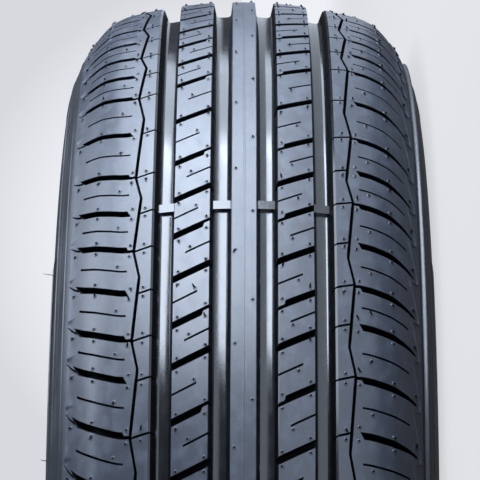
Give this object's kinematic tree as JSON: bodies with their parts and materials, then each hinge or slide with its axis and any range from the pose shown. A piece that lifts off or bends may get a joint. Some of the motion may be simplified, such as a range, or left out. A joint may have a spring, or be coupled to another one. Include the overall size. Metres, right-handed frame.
{
  "type": "car tyre",
  "caption": "Tubeless car tyre, unmounted, with straight circumferential grooves, slanted rib and shoulder slots, sipes, a zigzag groove each side and wear bars.",
  "frame": {"origin": "centre of the tyre, on its axis of rotation and midway between the sidewalls", "axes": "+Z along the axis of rotation, out of the upper sidewall; the tyre lies on its lower sidewall"},
  "size_m": [0.6219, 0.622, 0.185],
  "materials": {
    "tread_rubber": "satin black moulded rubber"
  },
  "bodies": {
    "root": {"tyre": "tread_rubber"}
  },
  "joints": []
}
